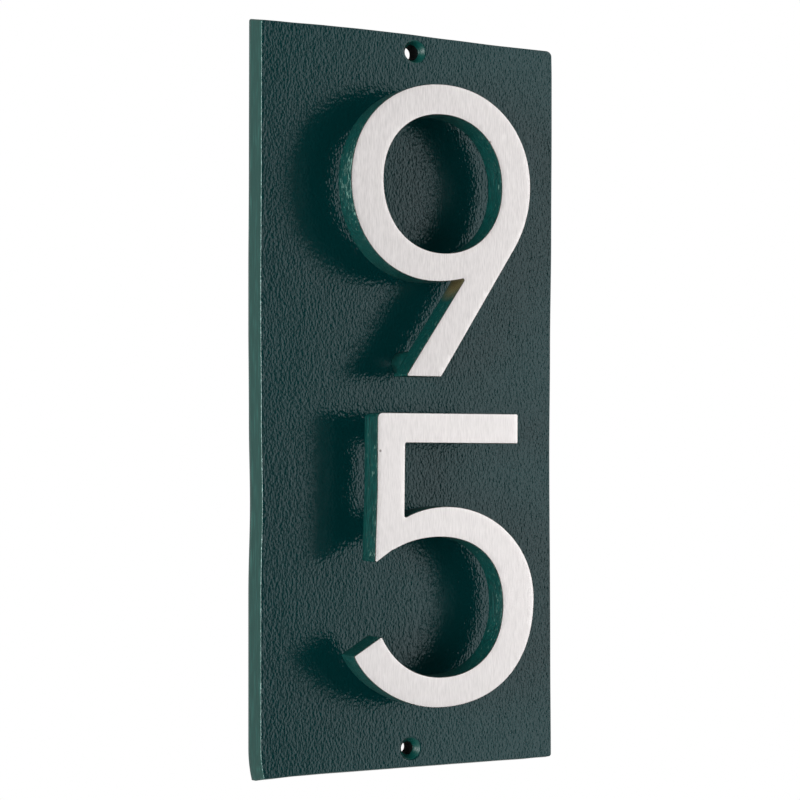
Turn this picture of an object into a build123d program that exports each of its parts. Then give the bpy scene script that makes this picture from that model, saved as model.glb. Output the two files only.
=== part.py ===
from build123d import *
import math
import os

# House number plaque for a wall beside a door.
# The cast plate lies flat on the wall. Two cast numerals stand off its front on
# round posts, and each post is held by a machine screw from the back.
# Lengths in mm, angles in degrees. X runs across the plaque, Z up, and the
# front faces -Y. The origin is the centre of the plate's back, on the wall.

# Backing plate
plate_width = 118.4
plate_height = 257.4
plate_depth = 7.0
side_slope_inset = 1.4
corner_radius = 0.9
worn_corner_radius = 1.9
worn_edge_inset = 1.3
worn_edge_length = 11.0
front_edge_break = 0.4

# Wall screw holes
wall_hole_diameter = 4.5
wall_sink_diameter = 8.4
wall_sink_depth = 2.4
top_hole_inset = 6.7
bottom_hole_inset = 8.2

# Both numerals
numeral_depth = 9.5
stroke = 10.2
side_stroke = 12.0
face_edge_break = 0.3
outline_corner_radius = 0.5
post_diameter = 8.0
post_length = 12.5

# Fullness of the bowls: the handles of their quarter curves, as a share of each
# quarter's width and height (0.552 would make a true ellipse)
bowl_fullness = 0.576
hollow_fullness = 0.6

# Numeral nine, measured from the plate's centre line and from its own foot
nine_foot_height = 8.3
nine_height = 98.9
nine_bowl_left = 35.1
nine_bowl_right = 35.0
nine_bowl_height = 66.9
nine_bowl_top_half = 33.4
nine_bowl_skew = 0.5
nine_top_shift = 0.8
nine_under_stroke = 9.7
nine_under_shift = 3.3
nine_counter_shift = 0.2
tail_angle = 56.8
tail_taper = 1.3
tail_bend_radius = 39.2
tail_foot_width = 13.6
nine_top_post_shift = 7.0
nine_tail_post_height = 5.0

# Numeral five, measured from the plate's centre line and from its own top
five_drop = 4.2
five_height = 99.7
five_bar_left = 25.0
five_bar_right = 29.9
stem_lean = 0.9
five_bowl_drop = 31.7
five_bowl_right = 36.4
five_bowl_left = 37.9
five_bowl_top_half = 33.4
five_bowl_centre = 1.0
five_side_stroke = 12.4
five_hollow_top_shift = 1.2
five_mouth_left = 28.4
five_mouth_rise = 8.0
five_end_drop = 78.0
five_end_middle = 28.9
five_end_angle = 30.4
five_bar_post_shift = 4.0

# Screws that hold the numerals
screw_diameter = 4.0
screw_length = 16.0
screw_head_diameter = 8.0
screw_head_rim = 0.3
screw_head_sink = 0.2
screw_tip_chamfer = 0.5
cross_recess_width = 4.4
cross_recess_slot = 0.9
cross_recess_depth = 1.5
screw_hole_clearance = 0.25
head_seat_clearance = 0.05
thread_clearance = 0.03
tapped_hole_end = 1.5


def front_plane(distance):
    """Plane parallel to the wall at a distance in front of it, facing forward."""
    return Plane.XZ.offset(distance)


def oval(top, right, bottom, left, fullness):
    """Closed bowl outline through its four outermost points, in four smooth quarters."""
    edges = []
    for flat_end, steep_end in ((top, right), (bottom, right), (bottom, left), (top, left)):
        across = steep_end[0] - flat_end[0]
        rise = steep_end[1] - flat_end[1]
        edges.append(Bezier(
            flat_end,
            (flat_end[0] + across * fullness, flat_end[1]),
            (steep_end[0], steep_end[1] - rise * fullness),
            steep_end,
        ))
    return make_face(edges)


def polygon(*points):
    """Flat face with straight sides through the given points."""
    return make_face(Polyline(*points, close=True))


def plate_outline(inset, distance):
    """Plate outline, drawn in from the back's size, with its worn lower left edge."""
    right = plate_width / 2 - inset
    left = -right
    top = plate_height / 2 - inset
    bottom = -top
    worn_top = (left, bottom + worn_edge_length)
    worn_foot = (left + worn_edge_inset, bottom)
    edges = [
        Line(worn_top, (left, top)),
        Line((left, top), (right, top)),
        Line((right, top), (right, bottom)),
        Line((right, bottom), worn_foot),
        TangentArc(worn_top, worn_foot, tangent=(0, -1)),
    ]
    outline = make_face(edges)
    corners = [
        ((left, top), corner_radius),
        ((right, top), worn_corner_radius),
        ((right, bottom), corner_radius),
        (worn_foot, corner_radius),
    ]
    for place, radius in corners:
        corner = outline.vertices().sort_by_distance(Vector(*place))[0]
        outline = fillet(corner, radius)
    return front_plane(distance) * outline


def sunk_hole(bore_diameter, sink_diameter, sink_depth, rim, depth):
    """Cutter for a countersunk hole that opens at Z = 0 and runs down."""
    bore = Pos(0, 0, -depth / 2) * Cylinder(bore_diameter / 2, depth)
    sink = Pos(0, 0, -rim - sink_depth / 2) * Cone(bore_diameter / 2, sink_diameter / 2, sink_depth)
    if rim > 0:
        sink += Pos(0, 0, -rim / 2) * Cylinder(sink_diameter / 2, rim)
    return bore + sink


def wall_hole_heights():
    """Heights of the two wall screw holes above the plate's centre."""
    return [
        plate_height / 2 - top_hole_inset,
        bottom_hole_inset - plate_height / 2,
    ]


def nine_levels():
    """Heights of the nine's foot, widest line and top above the plate's centre."""
    foot = nine_foot_height
    top = foot + nine_height
    return foot, top - nine_bowl_top_half, top


def tail_edge_points():
    """The tail's right edge: end of its bend, foot corners and the slope's run."""
    foot, widest, top = nine_levels()
    widest += nine_bowl_skew
    turn = math.radians(90 - tail_angle)
    bend_x = nine_bowl_right - tail_bend_radius * (1 - math.cos(turn))
    bend_z = widest - tail_bend_radius * math.sin(turn)
    slope = math.tan(math.radians(tail_angle))
    foot_right = bend_x - (bend_z - foot) / slope
    return (bend_x, bend_z), foot_right


def nine_post_places():
    """Post centres of the nine: behind the bowl's top and in the tail's foot."""
    foot, widest, top = nine_levels()
    bend, foot_right = tail_edge_points()
    right_run = nine_tail_post_height / math.tan(math.radians(tail_angle))
    left_run = nine_tail_post_height / math.tan(math.radians(tail_angle - tail_taper))
    right_x = foot_right + right_run
    left_x = foot_right - tail_foot_width + left_run
    middle_width = nine_bowl_left - side_stroke / 2
    middle_rise = nine_bowl_top_half - stroke / 2
    top_rise = middle_rise * math.sqrt(1 - (nine_top_post_shift / middle_width) ** 2)
    return [
        (-nine_top_post_shift, widest + top_rise),
        ((left_x + right_x) / 2, foot + nine_tail_post_height),
    ]


def five_levels():
    """Heights of the five's top, bowl top, widest line and bottom."""
    top = -five_drop
    bowl_top = top - five_bowl_drop
    return top, bowl_top, bowl_top - five_bowl_top_half, top - five_height


def five_post_places():
    """Post centres of the five: behind its bar and behind the bowl's bottom."""
    top, bowl_top, widest, bottom = five_levels()
    return [
        (five_bar_post_shift, top - stroke / 2),
        (five_bowl_centre, bottom + stroke / 2),
    ]


def nine_outline():
    """The nine: an oval bowl whose right side runs on as a slanted straight tail."""
    foot, widest, top = nine_levels()
    under = top - nine_bowl_height
    right_widest = widest + nine_bowl_skew
    bowl = oval(
        (nine_top_shift, top),
        (nine_bowl_right, right_widest),
        (-nine_under_shift, under),
        (-nine_bowl_left, widest - nine_bowl_skew),
        bowl_fullness,
    )
    counter = oval(
        (0, top - stroke),
        (nine_bowl_right - side_stroke + nine_counter_shift, widest),
        (0, under + nine_under_stroke),
        (side_stroke - nine_bowl_left + nine_counter_shift, widest),
        hollow_fullness,
    )
    bend, foot_right = tail_edge_points()
    foot_left = foot_right - tail_foot_width
    inner_run = (widest - foot) / math.tan(math.radians(tail_angle - tail_taper))
    inner_top = (foot_left + inner_run, widest)
    right_edge = [
        RadiusArc((nine_bowl_right, right_widest), bend, tail_bend_radius),
        Line(bend, (foot_right, foot)),
    ]
    inner_edge = Line((foot_left, foot), inner_top)
    tail = make_face(right_edge + [
        Line((foot_right, foot), (foot_left, foot)),
        inner_edge,
        Line(inner_top, (nine_bowl_right, right_widest)),
    ])
    beyond = 2 * nine_bowl_right
    beyond_tail = make_face(right_edge + [
        Line((foot_right, foot), (beyond, foot)),
        Line((beyond, foot), (beyond, right_widest)),
        Line((beyond, right_widest), (nine_bowl_right, right_widest)),
    ])
    outline = bowl - beyond_tail + tail - counter
    above_foot = outline.vertices().filter_by(lambda v: v.Y > foot + outline_corner_radius)
    notch = above_foot.sort_by(lambda v: inner_edge.distance_to(v))[0]
    for place in ((foot_left, foot), (foot_right, foot), (notch.X, notch.Y)):
        corner = outline.vertices().sort_by_distance(Vector(*place))[0]
        outline = fillet(corner, outline_corner_radius)
    return outline


def five_outline():
    """The five: a bar, an upright stem and a wide bowl open on its left."""
    top, bowl_top, widest, bottom = five_levels()
    under = top - stroke
    bowl = oval(
        (five_bowl_centre, bowl_top),
        (five_bowl_right, widest),
        (five_bowl_centre, bottom),
        (-five_bowl_left, widest),
        bowl_fullness,
    )
    hollow = oval(
        (-five_hollow_top_shift, bowl_top - stroke),
        (five_bowl_right - five_side_stroke, widest),
        (0, bottom + stroke),
        (-five_mouth_left, widest + five_mouth_rise),
        hollow_fullness,
    )
    stem_foot = bowl_top - stroke
    stem_left = -five_bar_left
    stem_run = top - stem_foot
    lean = math.tan(math.radians(stem_lean))
    foot_left = stem_left - stem_run * lean
    bar = polygon(
        (stem_left, top),
        (five_bar_right, top),
        (five_bar_right, under),
        (stem_left - stroke * lean, under),
    )
    stem = polygon(
        (stem_left, top),
        (stem_left + stroke, top),
        (foot_left + stroke, stem_foot),
        (foot_left, stem_foot),
    )
    end_slope = math.radians(five_end_angle)
    end_z = top - five_end_drop
    end_rise = five_bowl_left * math.tan(end_slope)
    end_inner = (0, end_z + five_end_middle * math.tan(end_slope))
    end_outer = (-five_end_middle - five_bowl_left, end_z - end_rise)
    mouth_top = widest + 2 * five_bowl_top_half
    lower_lean = foot_left - (stem_foot - end_inner[1]) * lean
    mouth = polygon(
        end_inner,
        end_outer,
        (end_outer[0], mouth_top),
        (foot_left + (mouth_top - stem_foot) * lean, mouth_top),
        (lower_lean, end_inner[1]),
    )
    outline = bowl - hollow - mouth + stem + bar
    for place in ((stem_left, top), (five_bar_right, top), (five_bar_right, under)):
        corner = outline.vertices().sort_by_distance(Vector(*place))[0]
        outline = fillet(corner, outline_corner_radius)
    return outline


def numeral(outline, post_places):
    """One numeral casting: its thick face, the posts behind it and their tapped holes."""
    back = plate_depth + post_length
    body = extrude(front_plane(back) * outline, amount=numeral_depth)
    face = body.faces().sort_by(Axis.Y)[0]
    body = fillet(face.edges(), face_edge_break)
    for place in post_places:
        at_plate = front_plane(plate_depth) * Pos(*place)
        body += at_plate * Pos(0, 0, post_length / 2) * Cylinder(post_diameter / 2, post_length)
    roots = body.edges().filter_by(GeomType.CIRCLE)
    roots = roots.filter_by_position(Axis.Y, -back - 0.01, -back + 0.01)
    roots = [root for root in roots if abs(root.radius - post_diameter / 2) < 0.01]
    body = fillet(roots, (stroke - post_diameter) * 0.35)
    hole_radius = screw_diameter / 2 + thread_clearance
    hole_depth = screw_length - plate_depth + screw_head_sink + tapped_hole_end
    for place in post_places:
        at_plate = front_plane(plate_depth) * Pos(*place)
        body -= at_plate * Pos(0, 0, hole_depth / 2) * Cylinder(hole_radius, hole_depth)
    return body


def backing_plate():
    """The cast plate: sloped sides, wall screw holes and the numeral screws' seats."""
    back = plate_outline(0, 0)
    front = plate_outline(side_slope_inset, plate_depth)
    plate = loft([back, front], ruled=True)
    face = plate.faces().sort_by(Axis.Y)[0]
    plate = fillet(face.edges(), front_edge_break)
    for height in wall_hole_heights():
        cutter = sunk_hole(wall_hole_diameter, wall_sink_diameter, wall_sink_depth, 0, plate_depth)
        plate -= front_plane(plate_depth) * Pos(0, height, 0) * cutter
    head_cone = (screw_head_diameter - screw_diameter) / 2
    bore = screw_diameter + 2 * screw_hole_clearance
    seat = screw_head_diameter + 2 * head_seat_clearance
    cone = (seat - bore) / 2
    rim = screw_head_sink + screw_head_rim + head_seat_clearance
    for place in nine_post_places() + five_post_places():
        cutter = sunk_hole(bore, seat, cone, rim, plate_depth)
        plate -= front_plane(0) * Pos(*place) * Rot(180, 0, 0) * cutter
    return plate


def numeral_screw():
    """Flat head machine screw along +Z, its head's flat face at Z = 0."""
    head = screw_head_diameter / 2
    shank = screw_diameter / 2
    cone_end = screw_head_rim + head - shank
    tip = shank - screw_tip_chamfer
    profile = polygon(
        (0, 0),
        (head, 0),
        (head, screw_head_rim),
        (shank, cone_end),
        (shank, screw_length - screw_tip_chamfer),
        (tip, screw_length),
        (0, screw_length),
    )
    body = revolve(Plane.XZ * profile, Axis.Z)
    for turn in (0, 90):
        slot = Box(cross_recess_width, cross_recess_slot, cross_recess_depth)
        body -= Rot(0, 0, turn) * Pos(0, 0, cross_recess_depth / 2) * slot
    return body


def numeral_screws():
    """The identical screws of both numerals, each on a post's axis."""
    screws = []
    for place in nine_post_places() + five_post_places():
        at_back = front_plane(screw_head_sink) * Pos(*place)
        screws.append(at_back * numeral_screw())
    return screws


def save(shape, name):
    """Write one node's file."""
    shape.label = name
    export_step(shape, os.path.join("parts", name + ".step"))


os.makedirs("parts", exist_ok=True)
save(backing_plate(), "backing_plate")
save(numeral(nine_outline(), nine_post_places()), "numeral_nine")
save(numeral(five_outline(), five_post_places()), "numeral_five")
save(Compound(children=numeral_screws()), "numeral_screws")
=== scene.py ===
import math

import bmesh
import bpy
import numpy as np
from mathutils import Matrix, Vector, geometry, kdtree, noise


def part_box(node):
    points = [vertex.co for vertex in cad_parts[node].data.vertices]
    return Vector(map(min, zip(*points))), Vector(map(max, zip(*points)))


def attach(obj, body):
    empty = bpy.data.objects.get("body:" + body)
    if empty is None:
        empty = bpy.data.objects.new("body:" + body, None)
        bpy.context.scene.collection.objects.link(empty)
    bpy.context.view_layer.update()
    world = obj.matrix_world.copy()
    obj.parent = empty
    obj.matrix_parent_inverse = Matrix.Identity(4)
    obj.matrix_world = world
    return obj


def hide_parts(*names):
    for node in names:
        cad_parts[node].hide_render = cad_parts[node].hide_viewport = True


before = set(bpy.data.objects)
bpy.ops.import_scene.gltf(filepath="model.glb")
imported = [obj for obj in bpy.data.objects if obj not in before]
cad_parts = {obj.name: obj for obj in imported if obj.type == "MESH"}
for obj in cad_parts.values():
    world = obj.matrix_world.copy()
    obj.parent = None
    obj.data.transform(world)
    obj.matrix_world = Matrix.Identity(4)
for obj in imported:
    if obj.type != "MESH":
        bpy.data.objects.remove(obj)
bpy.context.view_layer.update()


# Backing plate. A tall sand casting in aluminium, about 7 mm thick, with sloped
# sides that were run over a belt and a pebbled front, all powder coated dark
# green. Two countersunk holes near its ends take the wall screws.

# Sizes are in millimetres, and MM turns them to metres.
MM = 0.001
plate_low, plate_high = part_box("backing_plate")
plate_half_width = plate_high.x / MM
plate_half_height = plate_high.z / MM
plate_depth = -plate_low.y / MM
# Every side slopes in towards the front, but the nearly square under side by less.
side_inset = 1.4
under_side_inset = 0.5
back_break_inset = 0.2
back_break_height = 0.15
corner_radius = 0.9
top_right_radius = 1.9
corner_steps = 6

# The lower left corner has worn to a shallow arc up the side, with a flat foot.
worn_inset = 1.3
worn_length = 11.0
worn_steps = 13
worn_foot = 0.35

# The front edge is rounded by most of a quarter turn, up to where the slope starts.
front_rounding = 0.4
rounding_share = 0.87
rounding_rows = 4
slope_rows = 6

# The hand-ground sides wander a little. Each pair is a place along a side, from low
# to high or from left to right, and how far the side lies outside its nominal line.
left_wander = [
    (-128, 0.0), (-102, 0.0), (-65, 0.0), (-35, -0.6),
    (-7, -0.2), (34, 0.05), (80, -0.2), (128, -0.3),
]
right_wander = [
    (-128, 0.1), (-90, -0.15), (-17, -0.55), (19, -0.25),
    (60, 0.25), (100, 0.45), (117, 0.45), (128, 0.3),
]
top_wander = [
    (-59, 0.1), (-49, 0.25), (-32, 0.55), (-20, 0.65),
    (-4, 0.6), (15, 0.25), (36, -0.05), (59, -0.05),
]
bottom_wander = [
    (-59, -0.1), (-54, -0.25), (-43, -0.55), (-32, -0.6), (-20, -0.52), (-4, -0.46),
    (15, -0.36), (36, -0.25), (48, -0.12), (54, -0.22), (59, -0.15),
]
wander_reach = 3

# The sinks of the wall holes came out slightly oval, and the bores, drilled by hand,
# lean to the left towards the wall.
wall_holes = [
    {"x": 1.3, "z": 122.0, "sink_x": 4.1, "sink_z": 3.73, "bore": 2.52, "lean": 0.8},
    {"x": -0.5, "z": -120.5, "sink_x": 3.95, "sink_z": 4.0, "bore": 2.2, "lean": 0.9},
]
wall_sink_depth = 2.4
bore_break = 0.2

# The rim of a sink is soft: how far it lies outside the sink's line and how far
# below the front, as shares of its softness. At a sink's foot: how far the metal
# lies outside the bore, and how far in front of the foot's own depth.
rim_softness = 0.3
rim_profile = [(1, 0), (0.3, 0.2), (-0.4, 0.75)]
foot_profile = [(0.5, 0.55), (0.12, 0), (0, -0.4)]

# Four seats in the back take the numeral screws, one behind each post.
numeral_post_places = [(-7.0, 101.2), (-3.9, 13.3), (4.0, -9.3), (1.0, -98.8)]
screw_seat_radius = 4.05
screw_seat_break = 0.1
screw_seat_break_depth = 0.15
screw_seat_wall_depth = 0.55
screw_seat_depth = 2.35
screw_bore_radius = 2.25

# How far apart the points of the mesh lie along the edges, on the front and behind.
edge_pitch = 0.8
shortest_filled_run = 20
grain_pitch = 0.64
back_pitch = 4.0


def new_shell():
    """Points and faces of a piece that is built up ring by ring, in millimetres."""
    return {"points": [], "faces": []}


def add_ring(shell, outline, depth):
    """Adds a closed line of points at a distance in front of the wall."""
    first = len(shell["points"])
    shell["points"] += [(x, -depth, z) for x, z in outline]
    return list(range(first, first + len(outline)))


def join_rings(shell, rings):
    """Bands of four-sided faces from each ring to the next, all with as many points."""
    for a, b in zip(rings, rings[1:]):
        for i in range(len(a)):
            j = (i + 1) % len(a)
            shell["faces"].append((a[i], a[j], b[j], b[i]))


def inside(points, loop):
    """Which points lie inside a closed line."""
    result = np.zeros(len(points), bool)
    x, z = points[:, 0], points[:, 1]
    ends = np.roll(loop, -1, axis=0)
    for (x1, z1), (x2, z2) in zip(loop, ends):
        if z1 == z2:
            continue
        crosses = (z1 > z) != (z2 > z)
        result ^= crosses & (x < (x2 - x1) * (z - z1) / (z2 - z1) + x1)
    return result


def in_metal(points, loops):
    """Which points lie inside the first closed line and outside all the others."""
    result = inside(points, loops[0])
    for loop in loops[1:]:
        result &= ~inside(points, loop)
    return result


def add_skin(shell, outer, holes, pitch):
    """Flat skin inside a ring and round its holes, with an even spread of points."""
    rings = [outer] + holes
    loops = [np.array([(shell["points"][i][0], shell["points"][i][2]) for i in r]) for r in rings]
    depth = -shell["points"][outer[0]][1]
    low, high = loops[0].min(0), loops[0].max(0)
    rows = []
    row_step = pitch * math.sqrt(3) / 2
    for n, z in enumerate(np.arange(low[1] + row_step / 2, high[1], row_step)):
        row_start = 0.25 + 0.5 * (n % 2)
        xs = np.arange(low[0] + pitch * row_start, high[0], pitch)
        rows.append(np.column_stack([xs, np.full(len(xs), z)]))
    spread = np.concatenate(rows)
    spread = spread[in_metal(spread, loops)]
    edge_points = np.concatenate(loops)
    tree = kdtree.KDTree(len(edge_points))
    for n, (x, z) in enumerate(edge_points):
        tree.insert((x, z, 0), n)
    tree.balance()
    clear_of_edges = pitch * 0.6
    spread = [p for p in spread if tree.find((p[0], p[1], 0))[2] > clear_of_edges]
    first = len(shell["points"])
    shell["points"] += [(x, -depth, z) for x, z in spread]
    added = list(range(first, first + len(spread)))
    indices = [i for ring in rings for i in ring] + added
    flat = [Vector((shell["points"][i][0], shell["points"][i][2])) for i in indices]
    edges = []
    start = 0
    for ring in rings:
        count = len(ring)
        edges += [(start + i, start + (i + 1) % count) for i in range(count)]
        start += count
    same_point = 1e-7
    out, _, faces, origins, _, _ = geometry.delaunay_2d_cdt(flat, edges, [], 0, same_point, True)
    middles = np.array([sum((out[i] for i in face), Vector((0, 0))) / 3 for face in faces])
    for face, kept in zip(faces, in_metal(middles, loops)):
        if kept:
            shell["faces"].append(tuple(indices[origins[i][0]] for i in face))
    return added


def circle(x, z, radius, radius_z=None, count=48):
    """A closed round line, or an oval one."""
    turns = [2 * math.pi * i / count for i in range(count)]
    return [(x + radius * math.cos(t), z + (radius_z or radius) * math.sin(t)) for t in turns]


def make_piece(name, shell):
    """Turns a shell into a smooth mesh object in metres."""
    mesh = bpy.data.meshes.new(name)
    mesh.from_pydata([tuple(c * MM for c in p) for p in shell["points"]], [], shell["faces"])
    work = bmesh.new()
    work.from_mesh(mesh)
    bmesh.ops.recalc_face_normals(work, faces=work.faces)
    for face in work.faces:
        face.smooth = True
    work.to_mesh(mesh)
    work.free()
    piece = bpy.data.objects.new(name, mesh)
    bpy.context.scene.collection.objects.link(piece)
    return piece


def along(places, at):
    """The value at one place, blended smoothly between those of the listed places."""
    for (a, low), (b, high) in zip(places, places[1:]):
        if at <= b:
            t = max(0, (at - a) / (b - a))
            t = t * t * (3 - 2 * t)
            return low + (high - low) * t
    return places[-1][1]


def round_corner(x, z, radius, start):
    """A quarter circle in a corner of the plate, from a starting angle in degrees."""
    middle_x = x - math.copysign(radius, x)
    middle_z = z - math.copysign(radius, z)
    turns = [math.radians(start + 90 * n / corner_steps) for n in range(corner_steps + 1)]
    return [(middle_x + radius * math.cos(t), middle_z + radius * math.sin(t)) for t in turns]


def worn_corner(x, z):
    """The worn lower left corner, from high on the side down to its flat foot."""
    radius = (worn_length ** 2 + worn_inset ** 2) / (2 * worn_inset)
    sweep = math.asin(worn_length / radius)
    turns = [sweep * n / worn_steps for n in range(worn_steps + 1)]
    arc = [(x + radius * (1 - math.cos(t)), z + worn_length - radius * math.sin(t)) for t in turns]
    return arc + [(x + worn_inset + worn_foot, z)]


def plate_line(inset):
    """The plate's outline, counter-clockwise from the front, drawn in by an inset."""
    right = plate_half_width - inset
    top = plate_half_height - inset
    bottom = min(top, plate_half_height - under_side_inset)
    corners = round_corner(right, top, top_right_radius, 0)
    corners += round_corner(-right, top, corner_radius, 90)
    corners += worn_corner(-right, -bottom)
    corners += round_corner(right, -bottom, corner_radius, 270)
    # The count of points on a side doesn't depend on the inset, so that rings can join.
    filled = []
    for n, (x1, z1) in enumerate(corners):
        x2, z2 = corners[(n + 1) % len(corners)]
        filled.append((x1, z1))
        if math.hypot(x2 - x1, z2 - z1) > shortest_filled_run:
            half_length = plate_half_height if abs(z2 - z1) > abs(x2 - x1) else plate_half_width
            count = int(2 * half_length / edge_pitch)
            for k in range(1, count):
                t = k / count
                filled.append((x1 + (x2 - x1) * t, z1 + (z2 - z1) * t))
    # Each point takes on the wander of the sides that it lies near. Towards the back
    # none passes the plate's greatest width, and the wander of the top dies out.
    slope_share = min(1, inset / side_inset)
    result = []
    for x, z in filled:
        end = bottom if z < 0 else top
        near_side = max(0, 1 - (right - abs(x)) / wander_reach)
        near_end = max(0, 1 - (end - abs(z)) / wander_reach)
        out_x = along(left_wander if x < 0 else right_wander, z) * near_side
        out_z = along(bottom_wander if z < 0 else top_wander, x) * near_end
        if slope_share < 1:
            out_x = min(out_x, inset)
        if z > 0:
            out_z *= slope_share
        result.append((x + out_x * math.copysign(1, x), z + out_z * math.copysign(1, z)))
    return result


plate_shell = new_shell()
face_ring = add_ring(plate_shell, plate_line(side_inset + front_rounding), plate_depth)
edge_rings = [face_ring]
for row in range(1, rounding_rows + 1):
    turn = math.radians(90 * row / rounding_rows * rounding_share)
    inset = side_inset + front_rounding * (1 - math.sin(turn))
    depth = plate_depth - front_rounding * (1 - math.cos(turn))
    edge_rings.append(add_ring(plate_shell, plate_line(inset), depth))
slope_inset = inset
slope_depth = depth
for row in range(1, slope_rows + 1):
    t = row / slope_rows
    depth = slope_depth * (1 - t) + back_break_height * t
    edge_rings.append(add_ring(plate_shell, plate_line(slope_inset * (1 - t)), depth))
back_ring = add_ring(plate_shell, plate_line(back_break_inset), 0)
join_rings(plate_shell, edge_rings + [back_ring])

front_holes = []
back_holes = []
for hole in wall_holes:
    rings = []
    for out, down in rim_profile:
        radius_x = hole["sink_x"] + rim_softness * out
        radius_z = hole["sink_z"] + rim_softness * out
        outline = circle(hole["x"], hole["z"], radius_x, radius_z)
        rings.append(add_ring(plate_shell, outline, plate_depth - rim_softness * down))
    for out, up in foot_profile:
        outline = circle(hole["x"], hole["z"], hole["bore"] + out)
        rings.append(add_ring(plate_shell, outline, plate_depth - wall_sink_depth + up))
    x_behind = hole["x"] - hole["lean"]
    rings.append(add_ring(plate_shell, circle(x_behind, hole["z"], hole["bore"]), bore_break))
    rings.append(add_ring(plate_shell, circle(x_behind, hole["z"], hole["bore"] + bore_break), 0))
    join_rings(plate_shell, rings)
    front_holes.append(rings[0])
    back_holes.append(rings[-1])
for x, z in numeral_post_places:
    rows = [
        (screw_seat_radius + screw_seat_break, 0),
        (screw_seat_radius, screw_seat_break_depth),
        (screw_seat_radius, screw_seat_wall_depth),
        (screw_bore_radius, screw_seat_depth),
        (screw_bore_radius, plate_depth),
    ]
    rings = [add_ring(plate_shell, circle(x, z, radius), depth) for radius, depth in rows]
    join_rings(plate_shell, rings)
    back_holes.append(rings[0])
    front_holes.append(rings[-1])
front_grain = add_skin(plate_shell, face_ring, front_holes, grain_pitch)
add_skin(plate_shell, back_ring, back_holes, back_pitch)

# The cast pebbles and swells stand on the front only. They run out over the last
# millimetre before the rounded edge and before the foot of each post.
pebble_size = 2.2
pebble_height = 0.018
pebble_slice = 3.0
swell_size = 14.0
swell_height = 0.05
swell_slice = 9.0
post_foot_radius = 4.3
for i in front_grain:
    x, y, z = plate_shell["points"][i]
    pebble = noise.noise(Vector((x / pebble_size, z / pebble_size, pebble_slice)))
    swell = noise.noise(Vector((x / swell_size, z / swell_size, swell_slice)))
    from_post = min(math.hypot(x - px, z - pz) for px, pz in numeral_post_places) - post_foot_radius
    from_edge = min(plate_half_width - side_inset - front_rounding - abs(x),
                    plate_half_height - side_inset - front_rounding - abs(z))
    fade = min(1, max(0, from_post)) * min(1, max(0, from_edge))
    relief = (pebble * pebble_height + swell * swell_height - swell_height * 0.5) * fade
    plate_shell["points"][i] = (x, y - relief, z)
plate = make_piece("cast_plate", plate_shell)


def linear(hex_colour):
    """An sRGB hex colour as linear red, green, blue and alpha."""
    parts = [int(hex_colour[i:i + 2], 16) / 255 for i in (1, 3, 5)]
    return tuple(c / 12.92 if c <= 0.04045 else ((c + 0.055) / 1.055) ** 2.4 for c in parts) + (1.0,)


def new_material(name):
    """A node material that is still empty."""
    material = bpy.data.materials.new(name)
    material.use_nodes = True
    material.node_tree.nodes.clear()
    return material


def node(material, kind, settings=None, links=None):
    """Adds one node, sets its properties and sockets, and links its inputs."""
    made = material.node_tree.nodes.new(kind)
    for key, value in (settings or {}).items():
        if isinstance(key, int) or key in made.inputs:
            made.inputs[key].default_value = value
        else:
            setattr(made, key, value)
    for key, source in (links or {}).items():
        material.node_tree.links.new(source, made.inputs[key])
    return made


# The places of a colour mix's sockets: how much of the second colour there is, the
# two colours, and the mixed one among the outputs.
mix_share = 0
mix_first = 6
mix_second = 7
mixed = 2

# Polyester powder coat, gloss, sprayed over a sand casting: the coat flows over
# the pebbles and shines on each, so the sheen breaks up into fine upright flecks.
coat_green = "#022829"
sheen_tint = "#E4FBFF"
pebble_cell = 0.66
pebble_tallness = 1.5
pebble_relief = 0.125
# The casting dips a little towards its middle, which only its reflections show.
dip_centre = -18.3
dip_radius = 1100
powder_coat = new_material("gloss_powder_coat_on_sand_casting")
where = node(powder_coat, "ShaderNodeTexCoord")
tall = node(powder_coat, "ShaderNodeMapping", {"Scale": (1.0, 1.0, 1 / pebble_tallness)},
            {"Vector": where.outputs["Object"]})
pebbles = node(powder_coat, "ShaderNodeTexNoise",
               {"Scale": 1 / (pebble_cell * MM), "Detail": 0.6, "Roughness": 0.5},
               {"Vector": tall.outputs["Vector"]})
pebble_rise = node(powder_coat, "ShaderNodeMath", {"operation": "MULTIPLY", 1: pebble_relief * MM},
                   {0: pebbles.outputs["Fac"]})
place = node(powder_coat, "ShaderNodeSeparateXYZ", {}, {"Vector": where.outputs["Object"]})
above_dip = node(powder_coat, "ShaderNodeMath", {"operation": "SUBTRACT", 1: dip_centre * MM},
                 {0: place.outputs["Z"]})
squared = node(powder_coat, "ShaderNodeMath", {"operation": "MULTIPLY"},
               {0: above_dip.outputs[0], 1: above_dip.outputs[0]})
coat_height = node(powder_coat, "ShaderNodeMath",
                   {"operation": "MULTIPLY_ADD", 1: 1 / (2 * dip_radius * MM)},
                   {0: squared.outputs[0], 2: pebble_rise.outputs[0]})
pebble_bump = node(powder_coat, "ShaderNodeBump", {"Strength": 1.0, "Distance": 1.0},
                   {"Height": coat_height.outputs[0]})
coat_skin = node(powder_coat, "ShaderNodeBsdfPrincipled",
                 {"Base Color": linear(coat_green), "Roughness": 0.1, "IOR": 1.5,
                  "Specular Tint": linear(sheen_tint)},
                 {"Normal": pebble_bump.outputs["Normal"]})
node(powder_coat, "ShaderNodeOutputMaterial", {}, {"Surface": coat_skin.outputs["BSDF"]})

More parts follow.
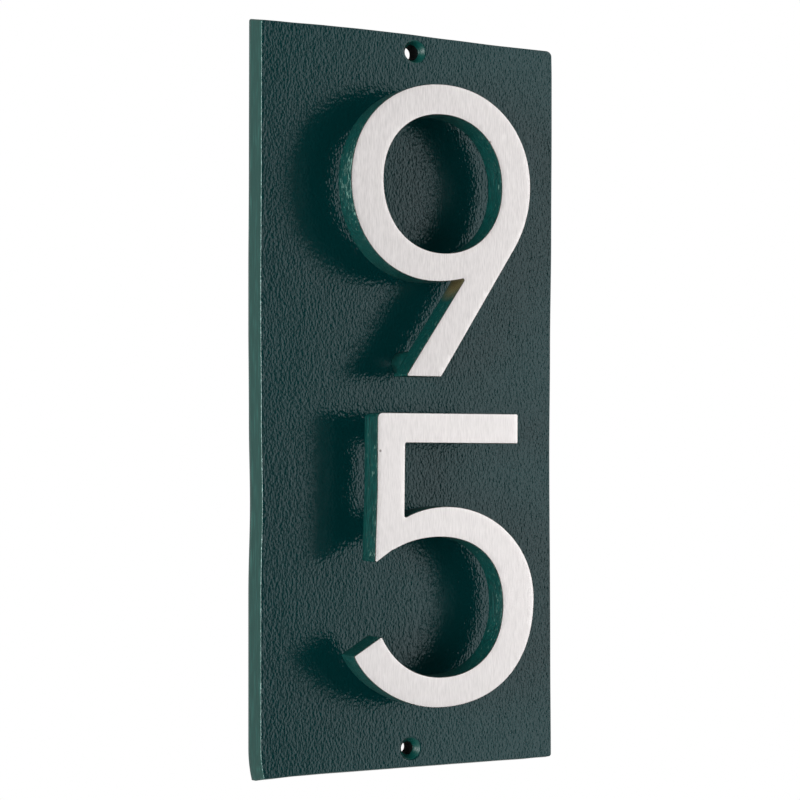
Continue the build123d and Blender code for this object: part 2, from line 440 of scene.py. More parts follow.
# The same coat on the belt-ground sides, which keep long upright grinding lines:
# their sheen is softer, with paler lines in it.
side_green = "#0F3833"
side_line_green = "#2C5F58"
line_width = 0.5
line_length = 9.0
line_relief = 0.06
side_coat = new_material("gloss_powder_coat_on_ground_sides")
where = node(side_coat, "ShaderNodeTexCoord")
drawn = node(side_coat, "ShaderNodeMapping", {"Scale": (1.0, 1.0, line_width / line_length)},
             {"Vector": where.outputs["Object"]})
lines = node(side_coat, "ShaderNodeTexNoise", {"Scale": 1 / (line_width * MM), "Detail": 1.0},
             {"Vector": drawn.outputs["Vector"]})
line_bump = node(side_coat, "ShaderNodeBump", {"Strength": 1.0, "Distance": line_relief * MM},
                 {"Height": lines.outputs["Fac"]})
line_share = node(side_coat, "ShaderNodeMapRange", {"From Min": 0.54, "From Max": 0.76, "To Max": 0.55},
                  {"Value": lines.outputs["Fac"]})
side_colour = node(side_coat, "ShaderNodeMix",
                   {"data_type": "RGBA", mix_first: linear(side_green), mix_second: linear(side_line_green)},
                   {mix_share: line_share.outputs["Result"]})
side_skin = node(side_coat, "ShaderNodeBsdfPrincipled", {"Roughness": 0.32, "IOR": 1.5},
                 {"Base Color": side_colour.outputs[mixed], "Normal": line_bump.outputs["Normal"]})
node(side_coat, "ShaderNodeOutputMaterial", {}, {"Surface": side_skin.outputs["BSDF"]})

# In the screw sinks the coat pooled over turned rings: it shines less there, in
# low waves.
sink_green = "#043D38"
turned_ring = 0.9
turned_ring_relief = 0.16
sink_coat = new_material("gloss_powder_coat_pooled_in_the_sinks")
where = node(sink_coat, "ShaderNodeTexCoord")
rings_stretch = node(sink_coat, "ShaderNodeMapping", {"Scale": (0.3, 2.0, 0.3)},
                     {"Vector": where.outputs["Object"]})
turned = node(sink_coat, "ShaderNodeTexNoise", {"Scale": 1 / (turned_ring * MM), "Detail": 1.0},
              {"Vector": rings_stretch.outputs["Vector"]})
turned_bump = node(sink_coat, "ShaderNodeBump", {"Strength": 1.0, "Distance": turned_ring_relief * MM},
                   {"Height": turned.outputs["Fac"]})
sink_skin = node(sink_coat, "ShaderNodeBsdfPrincipled",
                 {"Base Color": linear(sink_green), "Roughness": 0.38, "IOR": 1.5,
                  "Specular IOR Level": 0.3},
                 {"Normal": turned_bump.outputs["Normal"]})
node(sink_coat, "ShaderNodeOutputMaterial", {}, {"Surface": sink_skin.outputs["BSDF"]})

# The bores and the left of each sink's rim get a nearly black, almost shineless finish:
# painted shade, in place of the shade deep in the bores and the shadow line round the rim.
shade_mottle_size = 0.8
bore_and_rim_shade = new_material("painted_shade_in_the_bores_and_rims")
where = node(bore_and_rim_shade, "ShaderNodeTexCoord")
shade_mottle = node(bore_and_rim_shade, "ShaderNodeTexNoise", {"Scale": 1 / (shade_mottle_size * MM), "Detail": 2.0},
             {"Vector": where.outputs["Object"]})
bore_shade_colour = node(bore_and_rim_shade, "ShaderNodeMix",
                   {"data_type": "RGBA", mix_first: linear("#060B0B"), mix_second: linear("#121615")},
                   {mix_share: shade_mottle.outputs["Fac"]})
bore_skin = node(bore_and_rim_shade, "ShaderNodeBsdfPrincipled",
                 {"Roughness": 0.95, "IOR": 1.5, "Specular IOR Level": 0.1},
                 {"Base Color": bore_shade_colour.outputs[mixed]})
node(bore_and_rim_shade, "ShaderNodeOutputMaterial", {}, {"Surface": bore_skin.outputs["BSDF"]})

# A pale broken line is painted along the left front edge: a painted highlight, in place of the glint that
# the rounded edge catches from the light on the left.
highlight_break_size = 1.4
left_edge_highlight = new_material("painted_highlight_on_the_left_edge")
where = node(left_edge_highlight, "ShaderNodeTexCoord")
highlight_breaks = node(left_edge_highlight, "ShaderNodeTexNoise", {"Scale": 1 / (highlight_break_size * MM), "Detail": 2.0},
              {"Vector": where.outputs["Object"]})
highlight_share = node(left_edge_highlight, "ShaderNodeMapRange", {"From Min": 0.5, "From Max": 0.74},
                   {"Value": highlight_breaks.outputs["Fac"]})
highlight_colour = node(left_edge_highlight, "ShaderNodeMix",
                   {"data_type": "RGBA", mix_first: linear("#2A524C"), mix_second: linear("#86A8A2")},
                   {mix_share: highlight_share.outputs["Result"]})
highlight_skin = node(left_edge_highlight, "ShaderNodeBsdfPrincipled", {"Roughness": 0.3, "IOR": 1.5},
                 {"Base Color": highlight_colour.outputs[mixed]})
node(left_edge_highlight, "ShaderNodeOutputMaterial", {}, {"Surface": highlight_skin.outputs["BSDF"]})

plate_finishes = [powder_coat, side_coat, sink_coat, bore_and_rim_shade, left_edge_highlight]
for finish in plate_finishes:
    plate.data.materials.append(finish)

# Where the finishes end: distances from the bore, the wall and the sides in
# millimetres, places on a sink's rim as shares of its radius, and how much of a
# face's normal may point forward, or has to point left.
bore_line = 0.08
bore_reach = 1.0
bore_most_forward = 0.6
# Between these shares of a sink's radius, the left of its rim takes the painted shade.
shaded_rim_start = 0.92
shaded_rim_end = 1.02
shaded_rim_left = 0.45
sink_reach = 1.75
sink_from_wall = 1
sink_most_forward = 0.97
side_reach = worn_inset + 0.3
side_most_forward = 0.8
edge_least_left = 0.5


def finish_of(face):
    """The finish of one face of the plate, from where it lies and how it is turned."""
    x, depth, z = face.center.x / MM, -face.center.y / MM, face.center.z / MM
    forward = abs(face.normal.y)
    from_bore = min(math.hypot(x - h["x"], z - h["z"]) - h["bore"] for h in wall_holes)
    below_sink = from_bore < bore_reach and depth < plate_depth - wall_sink_depth
    # Painted shade in the bores, in place of the shade deep inside them.
    if from_bore < bore_line or (below_sink and forward < bore_most_forward):
        return bore_and_rim_shade
    across = [((x - h["x"]) / h["sink_x"], (z - h["z"]) / h["sink_z"]) for h in wall_holes]
    from_middle, leftward = min((math.hypot(u, w), -u) for u, w in across)
    # Painted shade along the left of each sink's rim, in place of the shadow line there.
    on_rim = depth > plate_depth - rim_softness and shaded_rim_start < from_middle < shaded_rim_end
    if on_rim and leftward > shaded_rim_left:
        return bore_and_rim_shade
    if from_bore < sink_reach and depth > sink_from_wall and forward < sink_most_forward:
        return sink_coat
    outward = max(abs(x) - (plate_half_width - side_inset), abs(z) - (plate_half_height - side_inset))
    if outward > -side_reach and forward < side_most_forward:
        # The left front edge takes the painted highlight.
        on_left_edge = face.normal.x < -edge_least_left and depth > plate_depth - front_rounding
        return left_edge_highlight if on_left_edge else side_coat
    return powder_coat


for face in plate.data.polygons:
    face.material_index = plate_finishes.index(finish_of(face))
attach(plate, "root")
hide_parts("backing_plate")


# Numerals. Each is one casting in aluminium, 9.5 mm deep, held off the plate by
# two round posts that are part of it. It is powder coated all over, and then its
# face is linished back to bright metal.

numeral_depth = 9.5
post_length = 12.5
post_radius = 4.0
post_ring_height = 6
tapped_radius = 2.03
tapped_depth = 10.7
drill_point = 0.8
numeral_back = plate_depth + post_length
numeral_front = numeral_back + numeral_depth
corner_rounding = 0.5

# Three broken edges, each a size and its profile in shares of that size: from the
# face to the wall, from the wall to the back, and from the back to a post. The first
# share is how far in from the wall, or out from the post. The second is how far
# behind the face, in front of the back, or behind the back.
face_edge = 0.17
face_edge_profile = [(1, 0), (0.45, 0.12), (0.12, 0.45), (0, 1)]
back_edge = 0.3
back_edge_profile = [(0.3, 0.3), (1, 0)]
post_flare = 0.5
post_flare_profile = [(1, 0), (0.35, 0.3), (0.08, 0.9), (0, 1.8)]

# How far apart the points of the mesh lie along the outlines, on a face and behind.
outline_pitch = 1.1
face_pitch = 1.6
behind_pitch = 2.0
wall_rows = 4


def full_oval(top, right, bottom, left, fullness):
    """A closed oval line, clockwise from its top, of four full quarter curves."""
    quarter_length = 0.8
    points = []
    for full, start, end in zip(fullness, (top, right, bottom, left), (right, bottom, left, top)):
        across = end[0] - start[0]
        rise = end[1] - start[1]
        if start in (top, bottom):
            a = (start[0] + across * full, start[1])
            b = (end[0], end[1] - rise * full)
        else:
            a = (start[0], start[1] + rise * full)
            b = (end[0] - across * full, end[1])
        count = int((abs(across) + abs(rise)) * quarter_length / outline_pitch)
        for n in range(count):
            t = n / count
            parts = ((1 - t) ** 3, 3 * (1 - t) ** 2 * t, 3 * (1 - t) * t ** 2, t ** 3)
            points.append(tuple(sum(w * p[k] for w, p in zip(parts, (start, a, b, end))) for k in (0, 1)))
    return points


def crossing(loop, start, end):
    """Where a straight line from start to end crosses a closed line."""
    found = []
    for (x1, z1), (x2, z2) in zip(loop, loop[1:] + loop[:1]):
        met = geometry.intersect_line_line_2d(start, end, (x1, z1), (x2, z2))
        if met is not None:
            found.append((met[0], met[1]))
    return found


def soften(points, radius):
    """Rounds the sharp corners of a closed line with short arcs."""
    nearly_straight = math.radians(165)
    most_of_a_run = 0.6
    arc_steps = 5
    result = []
    count = len(points)
    for n in range(count):
        before, here, after = (Vector(points[n - 1]), Vector(points[n]), Vector(points[(n + 1) % count]))
        a, b = (before - here).normalized(), (after - here).normalized()
        opening = a.angle(b)
        if opening > nearly_straight:
            result.append(tuple(here))
            continue
        longest = min((before - here).length * most_of_a_run, (after - here).length * most_of_a_run)
        cut = min(radius / math.tan(opening / 2), longest)
        middle = here + (a + b).normalized() * (cut / math.cos(opening / 2))
        first, last = here + a * cut - middle, here + b * cut - middle
        sweep = first.angle_signed(last)
        start = math.atan2(first.y, first.x)
        for k in range(arc_steps + 1):
            t = start - sweep * k / arc_steps
            result.append((middle.x + first.length * math.cos(t), middle.y + first.length * math.sin(t)))
    return result


def fill(points):
    """Adds points along the long runs of a closed line."""
    result = []
    for n, (x1, z1) in enumerate(points):
        x2, z2 = points[(n + 1) % len(points)]
        count = max(1, round(math.hypot(x2 - x1, z2 - z1) / outline_pitch))
        result += [(x1 + (x2 - x1) * k / count, z1 + (z2 - z1) * k / count) for k in range(count)]
    return result


def offset(points, distance):
    """A closed line moved to its inner side, for a clockwise line."""
    sharpest = 0.5
    result = []
    count = len(points)
    for n in range(count):
        before, here, after = (Vector(points[n - 1]), Vector(points[n]), Vector(points[(n + 1) % count]))
        a, b = (here - before).normalized(), (after - here).normalized()
        side = Vector((a.y + b.y, -a.x - b.x))
        side = side.normalized() / max(sharpest, math.cos(a.angle(b) / 2))
        result.append(tuple(here + side * distance))
    return result


def between(loop, start, end, clear=2.0):
    """The part of a closed line between two points, in its own order and clear of both."""
    near = [min(range(len(loop)), key=lambda n: (Vector(loop[n]) - Vector(p)).length) for p in (start, end)]
    count = (near[1] - near[0]) % len(loop)
    run = [loop[(near[0] + n) % len(loop)] for n in range(count + 1)]
    ends = (Vector(start), Vector(end))
    return [p for p in run if min((Vector(p) - end_point).length for end_point in ends) > clear]


# The nine's bowl and its round counter.
bowl_right = (34.95, 74.3)
bowl = full_oval((0.8, 107.15), bowl_right, (-3.3, 40.3), (-35.1, 73.2), (0.576, 0.576, 0.584, 0.58))
nine_counter = full_oval((0.1, 96.85), (23.4, 73.5), (-0.2, 49.95), (-22.9, 73.7), (0.59, 0.59, 0.59, 0.59))

# The nine's tail bends out of the bowl and runs straight to its foot, and its left
# side meets the bowl in the notch.
tail_angle = math.radians(56.8)
tail_taper = math.radians(1.3)
tail_bend_radius = 39.2
bend_steps = 11
bend_middle = (bowl_right[0] - tail_bend_radius, bowl_right[1])
bend = []
for n in range(bend_steps + 1):
    t = (math.pi / 2 - tail_angle) * n / bend_steps
    bend.append((bend_middle[0] + tail_bend_radius * math.cos(t),
                 bend_middle[1] - tail_bend_radius * math.sin(t)))
foot_z = 8.08
foot_width = 13.6
x, z = bend[-1]
foot_right = (x - (z - foot_z) / math.tan(tail_angle), foot_z)
foot_left = (foot_right[0] - foot_width, foot_z)
tail_left_angle = tail_angle - tail_taper
reach = 60.0
tail_left_end = (foot_left[0] + reach * math.cos(tail_left_angle),
                 foot_z + reach * math.sin(tail_left_angle))
notch = min(crossing(bowl, foot_left, tail_left_end), key=lambda p: p[1])
nine_line = between(bowl, notch, bend[0]) + bend + [foot_right, foot_left, notch]

# The places of a numeral's finishes after the first, which is its face's.
wall_finish = 1
burr_finish = 2


def piece_of_metal(name, line, holes, posts):
    """A numeral: its face, softly broken edges, walls, posts and back."""
    shell = new_shell()
    levels = [(face_edge * inward, numeral_front - face_edge * down) for inward, down in face_edge_profile]
    wall_height = numeral_depth - face_edge - back_edge
    for row in range(1, wall_rows + 1):
        levels.append((0, numeral_front - face_edge - wall_height * row / wall_rows))
    levels += [(back_edge * inward, numeral_back + back_edge * up) for inward, up in back_edge_profile]
    all_rings = []
    for loop in [line] + holes:
        rings = [add_ring(shell, offset(loop, inset) if inset else loop, depth) for inset, depth in levels]
        all_rings.append(rings)
    fronts = [rings[0] for rings in all_rings]
    backs = [rings[-1] for rings in all_rings]
    add_skin(shell, fronts[0], fronts[1:], face_pitch)
    first_burr_face = len(shell["faces"])
    edge_rows = len(face_edge_profile)
    for rings in all_rings:
        join_rings(shell, rings[:edge_rows])
    first_wall_face = len(shell["faces"])
    for rings in all_rings:
        join_rings(shell, rings[edge_rows - 1:])
    for x, z in posts:
        rows = [(post_radius + post_flare * out, numeral_back - post_flare * down)
                for out, down in post_flare_profile]
        rows += [
            (post_radius, plate_depth + post_ring_height),
            (post_radius, plate_depth),
            (tapped_radius, plate_depth),
            (tapped_radius, plate_depth + tapped_depth),
        ]
        rings = [add_ring(shell, circle(x, z, radius), depth) for radius, depth in rows]
        join_rings(shell, rings)
        point = len(shell["points"])
        shell["points"].append((x, -(plate_depth + tapped_depth + drill_point), z))
        last = rings[-1]
        for i in range(len(last)):
            shell["faces"].append((last[i], last[(i + 1) % len(last)], point))
        backs.append(rings[0])
    add_skin(shell, backs[0], backs[1:], behind_pitch)
    piece = make_piece(name, shell)
    for face in piece.data.polygons[first_burr_face:]:
        face.material_index = wall_finish if face.index >= first_wall_face else burr_finish
    return piece


# Sand-cast aluminium, linished on an upright belt: upright scratches that spread
# the light sideways, pale and even. Real ones are finer than these, which are as
# coarse as they need to be to show.
scratch_width = 0.3
scratch_length = 3.0
scratch_relief = 0.008
pit_radius = 0.2
pit_outer_radius = 0.6
pit_strength = 0.7
pit_grey = "#5C5550"


def linished_metal(name, pale, dull, pit):
    """Bare metal with belt scratches of two tones that lie close together, and a pit."""
    metal = new_material(name)
    where = node(metal, "ShaderNodeTexCoord")
    drawn = node(metal, "ShaderNodeMapping", {"Scale": (1.0, 1.0, scratch_width / scratch_length)},
                 {"Vector": where.outputs["Object"]})
    scratches = node(metal, "ShaderNodeTexNoise", {"Scale": 1 / (scratch_width * MM), "Detail": 2.0},
                     {"Vector": drawn.outputs["Vector"]})
    tone = node(metal, "ShaderNodeMapRange", {"From Min": 0.3, "From Max": 0.7},
                {"Value": scratches.outputs["Fac"]})
    colour = node(metal, "ShaderNodeMix",
                  {"data_type": "RGBA", mix_first: linear(dull), mix_second: linear(pale)},
                  {mix_share: tone.outputs["Result"]})
    from_pit = node(metal, "ShaderNodeVectorMath", {"operation": "DISTANCE", 1: pit},
                    {0: where.outputs["Object"]})
    in_pit = node(metal, "ShaderNodeMapRange",
                  {"From Min": pit_radius * MM, "From Max": pit_outer_radius * MM,
                   "To Min": pit_strength, "To Max": 0.0},
                  {"Value": from_pit.outputs["Value"]})
    colour = node(metal, "ShaderNodeMix", {"data_type": "RGBA", mix_second: linear(pit_grey)},
                  {mix_share: in_pit.outputs["Result"], mix_first: colour.outputs[mixed]})
    bump = node(metal, "ShaderNodeBump", {"Strength": 1.0, "Distance": scratch_relief * MM},
                {"Height": scratches.outputs["Fac"]})
    around = node(metal, "ShaderNodeTangent", {"direction_type": "RADIAL", "axis": "Z"})
    skin = node(metal, "ShaderNodeBsdfPrincipled", {"Metallic": 1.0, "Roughness": 0.5, "Anisotropic": 0.2},
                {"Base Color": colour.outputs[mixed], "Normal": bump.outputs["Normal"],
                 "Tangent": around.outputs["Tangent"]})
    node(metal, "ShaderNodeOutputMaterial", {}, {"Surface": skin.outputs["BSDF"]})
    return metal


# The same powder coat on the numerals, whose walls were filed along before coating:
# the coat lies in long upright streaks, and is worn to pale flecks, most of all near
# the face and on the rubbed left of the nine. The nine's notch is scorched brown.
streak_width = 0.5
streak_slimness = 0.1
streak_relief = 0.2
fleck_slimness = 0.18
wear_level_at_face = 0.615
wear_level_at_back = 0.72
rubbed_place = (-35 * MM, -(numeral_front - 3) * MM, 72 * MM)
rubbed_radius = 5
rubbed_outer_radius = 16
rub_strength = 0.085
scorched_place = (notch[0] * MM, -(numeral_front - 4) * MM, (notch[1] - 2) * MM)
scorched_radius = 3
scorched_outer_radius = 8.5
scorch_strength = 0.9
wall_coat = new_material("gloss_powder_coat_on_numeral_walls")
where = node(wall_coat, "ShaderNodeTexCoord")
drawn = node(wall_coat, "ShaderNodeMapping", {"Scale": (1.0, 1.0, streak_slimness)},
             {"Vector": where.outputs["Object"]})
streaks = node(wall_coat, "ShaderNodeTexNoise", {"Scale": 1 / (streak_width * MM), "Detail": 2.0},
               {"Vector": drawn.outputs["Vector"]})
streak_share = node(wall_coat, "ShaderNodeMapRange", {"From Min": 0.4, "From Max": 0.62},
                    {"Value": streaks.outputs["Fac"]})
streak_colour = node(wall_coat, "ShaderNodeMix",
                     {"data_type": "RGBA", mix_first: linear("#022C2A"), mix_second: linear("#05403C")},
                     {mix_share: streak_share.outputs["Result"]})
short = node(wall_coat, "ShaderNodeMapping", {"Scale": (1.0, 1.0, fleck_slimness)},
             {"Vector": where.outputs["Object"]})
flecks = node(wall_coat, "ShaderNodeTexNoise", {"Scale": 1 / (streak_width * MM), "Detail": 2.0},
              {"Vector": short.outputs["Vector"]})
place = node(wall_coat, "ShaderNodeSeparateXYZ", {}, {"Vector": where.outputs["Object"]})
wear_level = node(wall_coat, "ShaderNodeMapRange",
                  {"From Min": -numeral_front * MM, "From Max": -numeral_back * MM,
                   "To Min": wear_level_at_face, "To Max": wear_level_at_back},
                  {"Value": place.outputs["Y"]})
from_rub = node(wall_coat, "ShaderNodeVectorMath", {"operation": "DISTANCE", 1: rubbed_place},
                {0: where.outputs["Object"]})
rub = node(wall_coat, "ShaderNodeMapRange",
           {"From Min": rubbed_radius * MM, "From Max": rubbed_outer_radius * MM,
            "To Min": rub_strength, "To Max": 0.0},
           {"Value": from_rub.outputs["Value"]})
level = node(wall_coat, "ShaderNodeMath", {"operation": "SUBTRACT"},
             {0: wear_level.outputs["Result"], 1: rub.outputs["Result"]})
over = node(wall_coat, "ShaderNodeMath", {"operation": "SUBTRACT"},
            {0: flecks.outputs["Fac"], 1: level.outputs[0]})
worn = node(wall_coat, "ShaderNodeMapRange", {"From Min": 0.0, "From Max": 0.05},
            {"Value": over.outputs[0]})
wall_colour = node(wall_coat, "ShaderNodeMix", {"data_type": "RGBA", mix_second: linear("#5E7F76")},
                   {mix_share: worn.outputs["Result"], mix_first: streak_colour.outputs[mixed]})
from_notch = node(wall_coat, "ShaderNodeVectorMath", {"operation": "DISTANCE", 1: scorched_place},
                  {0: where.outputs["Object"]})
scorched = node(wall_coat, "ShaderNodeMapRange",
                {"From Min": scorched_radius * MM, "From Max": scorched_outer_radius * MM,
                 "To Min": scorch_strength, "To Max": 0.0},
                {"Value": from_notch.outputs["Value"]})
wall_colour = node(wall_coat, "ShaderNodeMix", {"data_type": "RGBA", mix_second: linear("#5A5134")},
                   {mix_share: scorched.outputs["Result"], mix_first: wall_colour.outputs[mixed]})
line_bump = node(wall_coat, "ShaderNodeBump", {"Strength": 1.0, "Distance": streak_relief * MM},
                 {"Height": streaks.outputs["Fac"]})
wall_skin = node(wall_coat, "ShaderNodeBsdfPrincipled", {"Roughness": 0.36, "IOR": 1.5},
                 {"Base Color": wall_colour.outputs[mixed], "Normal": line_bump.outputs["Normal"]})
node(wall_coat, "ShaderNodeOutputMaterial", {}, {"Surface": wall_skin.outputs["BSDF"]})

# Round each face the belt left a dull burr, dark with rubbed-in coat dust: a matt
# brown and black line between the pale face and the green walls.
dust_size = 0.9
burr = new_material("dull_burr_with_coat_dust")
where = node(burr, "ShaderNodeTexCoord")
specks = node(burr, "ShaderNodeTexNoise", {"Scale": 1 / (dust_size * MM), "Detail": 2.0},
              {"Vector": where.outputs["Object"]})
dust = node(burr, "ShaderNodeMapRange", {"From Min": 0.35, "From Max": 0.65},
            {"Value": specks.outputs["Fac"]})
burr_colour = node(burr, "ShaderNodeMix",
                   {"data_type": "RGBA", mix_first: linear("#15211C"), mix_second: linear("#40342A")},
                   {mix_share: dust.outputs["Result"]})
burr_skin = node(burr, "ShaderNodeBsdfPrincipled", {"Roughness": 0.7, "IOR": 1.5},
                 {"Base Color": burr_colour.outputs[mixed]})
node(burr, "ShaderNodeOutputMaterial", {}, {"Surface": burr_skin.outputs["BSDF"]})

# The nine. Its outline is clockwise, and its counter runs the other way, so that an
# inset moves both into the metal.
nine_outline = fill(soften(nine_line, corner_rounding))
nine = piece_of_metal("numeral_nine_casting", nine_outline, [nine_counter[::-1]], numeral_post_places[:2])
nine_pit = (18.6 * MM, -numeral_front * MM, 88.9 * MM)
nine.data.materials.append(linished_metal("linished_aluminium_of_the_nine", "#EAE6E5", "#D8D4D3", nine_pit))
nine.data.materials.append(wall_coat)
nine.data.materials.append(burr)
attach(nine, "root")
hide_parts("numeral_nine")

# The five: its bar, leaning stem, bowl and open end. The bar's upper left corner is
# round, and the stem's left side bends a little outward on its way down to its tip.
bar_top = -4.25
bar_under = -14.5
bar_under_rise = 0.2
bar_left = -25.2
bar_right = 29.8
bar_corner_radius = 1.8
bar_corner_steps = 8
stroke = 10.65
stem_lean = math.radians(0.6)
stem_bend = (bar_left - 0.1, -30.0)
stem_tip = (-26.2, -54.5)
tip_inside = (-19.7, -50.25)
end_angle = math.radians(30.4)
end_place = (-28.9, -82.1)
end_reach = (-45.0, -10.0)
five_bowl = full_oval((1.2, -35.9), (36.35, -68.0), (-0.4, -103.9), (-36.3, -76.5),
                      (0.556, 0.62, 0.515, 0.575))
five_hollow = full_oval((-1.7, -46.15), (23.8, -69.8), (0.0, -93.65), (-27.5, -61.5),
                        (0.62, 0.607, 0.593, 0.55))
stem_right_top = (bar_left + stroke, bar_top)
stem_run = 60.0
stem_right_low = (stem_right_top[0] - stem_run * math.tan(stem_lean), bar_top - stem_run)
bar_inside = (stem_right_top[0] - stroke * math.tan(stem_lean), bar_under + bar_under_rise)
bowl_start = max(crossing(five_bowl, stem_right_top, stem_right_low), key=lambda p: p[1])
end_line = [(x, end_place[1] + (x - end_place[0]) * math.tan(end_angle)) for x in end_reach]
end_outer = min(crossing(five_bowl, *end_line))
end_inner = max(crossing(five_hollow, *end_line))
five_line = []
for n in range(bar_corner_steps + 1):
    t = math.radians(180 - 90 * n / bar_corner_steps)
    five_line.append((bar_left + bar_corner_radius * (1 + math.cos(t)),
                      bar_top - bar_corner_radius * (1 - math.sin(t))))
five_line += [(bar_right, bar_top), (bar_right, bar_under), bar_inside, bowl_start]
five_line += between(five_bowl, bowl_start, end_outer) + [end_outer, end_inner]
five_line += between(five_hollow[::-1], end_inner, tip_inside, 1.0) + [tip_inside, stem_tip, stem_bend]
five_outline = fill(soften(five_line, corner_rounding))
five = piece_of_metal("numeral_five_casting", five_outline, [], numeral_post_places[2:])
five_pit = (-24.2 * MM, -numeral_front * MM, -17.0 * MM)
five.data.materials.append(linished_metal("linished_aluminium_of_the_five", "#F4F0EF", "#E6E2E1", five_pit))
five.data.materials.append(wall_coat)
five.data.materials.append(burr)
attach(five, "root")
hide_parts("numeral_five")


# Numeral screws. Four countersunk machine screws, M4, come through the plate
# from its back into the posts. They are turned steel, bright zinc plated, which
# gives a cool, slightly cloudy shine over fine turned rings.

turning_mark = 1.2
turning_mark_relief = 0.01
zinc = new_material("bright_zinc_plated_turned_steel")
where = node(zinc, "ShaderNodeTexCoord")
turned = node(zinc, "ShaderNodeMapping", {"Scale": (1.0, 8.0, 1.0)}, {"Vector": where.outputs["Object"]})
marks = node(zinc, "ShaderNodeTexNoise", {"Scale": 1 / (turning_mark * MM), "Detail": 3.0},
             {"Vector": turned.outputs["Vector"]})
marks_bump = node(zinc, "ShaderNodeBump", {"Strength": 1.0, "Distance": turning_mark_relief * MM},
                  {"Height": marks.outputs["Fac"]})
zinc_tone = node(zinc, "ShaderNodeMix",
                 {"data_type": "RGBA", mix_first: linear("#B9BDC2"), mix_second: linear("#D3D4D2")},
                 {mix_share: marks.outputs["Fac"]})
zinc_skin = node(zinc, "ShaderNodeBsdfPrincipled", {"Metallic": 1.0, "Roughness": 0.28},
                 {"Base Color": zinc_tone.outputs[mixed], "Normal": marks_bump.outputs["Normal"]})
node(zinc, "ShaderNodeOutputMaterial", {}, {"Surface": zinc_skin.outputs["BSDF"]})
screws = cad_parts["numeral_screws"]
screws.data.materials.clear()
screws.data.materials.append(zinc)


# Studio. Soft lights stand to the right of the plaque and to its left, in a dim
# room with a white backdrop behind the plaque and a round white paper floor.
# Sizes from here on are in metres.

floor_drop = 0.30
floor_radius = 1.6
floor_z = plate_low.z - floor_drop
floor_mesh = bpy.data.meshes.new("studio_floor")
rim = [(x, y, floor_z) for x, y in circle(0, 0, floor_radius, count=96)]
floor_mesh.from_pydata(rim, [], [tuple(range(len(rim)))])
studio_floor = bpy.data.objects.new("studio_floor", floor_mesh)
bpy.context.scene.collection.objects.link(studio_floor)
paper = new_material("white_paper_floor")
paper_skin = node(paper, "ShaderNodeBsdfPrincipled", {"Base Color": linear("#F4F4F4"), "Roughness": 0.9})
node(paper, "ShaderNodeOutputMaterial", {}, {"Surface": paper_skin.outputs["BSDF"]})
floor_mesh.materials.append(paper)

# The camera sees white all round. A mirrored ray sees white only straight behind
# the plaque, and other rays meet the dim room with its backdrop and ceiling. Each
# range is a share of a ray's direction, backwards or upwards.
room_light = 0.05
backdrop_light = 0.5
backdrop_range = (-0.1, 0.3)
ceiling_light = 0.16
ceiling_range = (0.35, 0.7)
straight_behind_range = (0.9, 0.98)
white = (1, 1, 1, 1)
world = bpy.data.worlds.new("studio_room")
bpy.context.scene.world = world
world.use_nodes = True
world.node_tree.nodes.clear()
ray = node(world, "ShaderNodeLightPath")
way = node(world, "ShaderNodeTexCoord")
direction = node(world, "ShaderNodeSeparateXYZ", {}, {"Vector": way.outputs["Generated"]})
behind = node(world, "ShaderNodeMapRange",
              {"From Min": backdrop_range[0], "From Max": backdrop_range[1],
               "To Min": room_light, "To Max": backdrop_light},
              {"Value": direction.outputs["Y"]})
above = node(world, "ShaderNodeMapRange",
             {"From Min": ceiling_range[0], "From Max": ceiling_range[1],
              "To Min": 0.0, "To Max": ceiling_light},
             {"Value": direction.outputs["Z"]})
room_strength = node(world, "ShaderNodeMath", {"operation": "MAXIMUM"},
                     {0: behind.outputs["Result"], 1: above.outputs["Result"]})
room = node(world, "ShaderNodeBackground", {"Color": white}, {"Strength": room_strength.outputs["Value"]})
paper_white = node(world, "ShaderNodeBackground", {"Color": white, "Strength": 1.0})
mirrored = node(world, "ShaderNodeMath", {"operation": "MAXIMUM"},
                {0: ray.outputs["Is Glossy Ray"], 1: ray.outputs["Is Transmission Ray"]})
straight_behind = node(world, "ShaderNodeMapRange",
                       {"From Min": straight_behind_range[0], "From Max": straight_behind_range[1]},
                       {"Value": direction.outputs["Y"]})
mirrored_behind = node(world, "ShaderNodeMath", {"operation": "MULTIPLY"},
                       {0: mirrored.outputs[0], 1: straight_behind.outputs["Result"]})
white_share = node(world, "ShaderNodeMath", {"operation": "MAXIMUM"},
                   {0: ray.outputs["Is Camera Ray"], 1: mirrored_behind.outputs[0]})
seen = node(world, "ShaderNodeMixShader", {},
            {0: white_share.outputs[0], 1: room.outputs[0], 2: paper_white.outputs[0]})
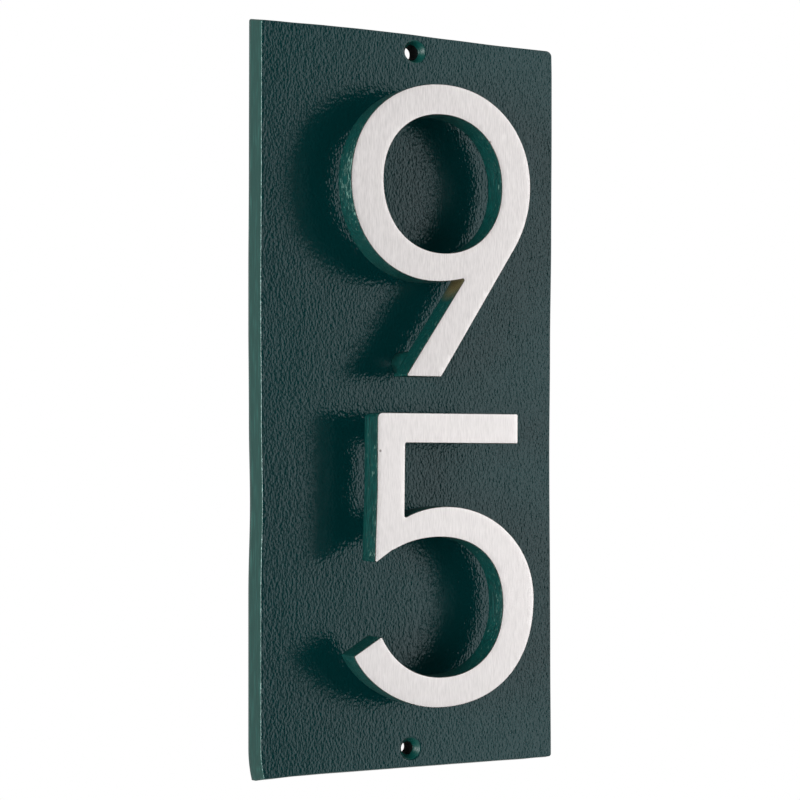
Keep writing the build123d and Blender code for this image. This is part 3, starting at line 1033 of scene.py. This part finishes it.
node(world, "ShaderNodeOutputWorld", {}, {"Surface": seen.outputs[0]})

light_distance = 3.0
tall_light = 6.0
low_light = 2.6
low_light_lift = -0.45


def soft_light(name, from_azimuth, to_azimuth, radiance, height=tall_light, lift=0.0):
    """A soft light that fills the directions between two azimuths from the plaque's front."""
    middle = math.radians((from_azimuth + to_azimuth) / 2)
    half = math.radians(abs(to_azimuth - from_azimuth) / 2)
    lamp = bpy.data.lights.new(name, "AREA")
    lamp.shape = "RECTANGLE"
    lamp.size = 2 * light_distance * math.tan(half)
    lamp.size_y = height
    lamp.energy = radiance * math.pi * lamp.size * lamp.size_y
    holder = bpy.data.objects.new(name, lamp)
    bpy.context.scene.collection.objects.link(holder)
    place = Vector((math.sin(middle) * light_distance, -math.cos(middle) * light_distance, lift))
    holder.location = place
    holder.rotation_euler = (-place).to_track_quat("-Z", "Y").to_euler()


# The right strip light grows brighter in five steps, which the pebbles blur to the
# soft border of the numerals' dark reflections in the plate.
strip_steps = [(22, 24.5, 0.32), (24.5, 27, 0.92), (27, 29.5, 0.98), (29.5, 32, 1.15), (32, 45, 1.68)]
for from_azimuth, to_azimuth, radiance in strip_steps:
    soft_light("right_strip_light", from_azimuth, to_azimuth, radiance)
soft_light("right_soft_light", 50, 88, 2.4)
soft_light("left_soft_light", -80, -48, 14.8, low_light, low_light_lift)

# Camera: level, to the left of the plaque, turned 29 degrees to it.
camera_turn = math.radians(29)
camera_x = -0.36193
camera_z = -0.01828
camera_from_front = 0.64509
camera_data = bpy.data.cameras.new("camera")
camera_data.sensor_width = 36
camera_data.lens = 95.72
camera_data.shift_x = -0.0006
camera_data.shift_y = 0.0683
camera = bpy.data.objects.new("camera", camera_data)
bpy.context.scene.collection.objects.link(camera)
camera.location = Vector((camera_x, plate_low.y - camera_from_front, camera_z))
look = Vector((math.sin(camera_turn), math.cos(camera_turn), 0))
camera.rotation_euler = look.to_track_quat("-Z", "Y").to_euler()
bpy.context.scene.camera = camera
bpy.context.scene.view_settings.view_transform = "Standard"
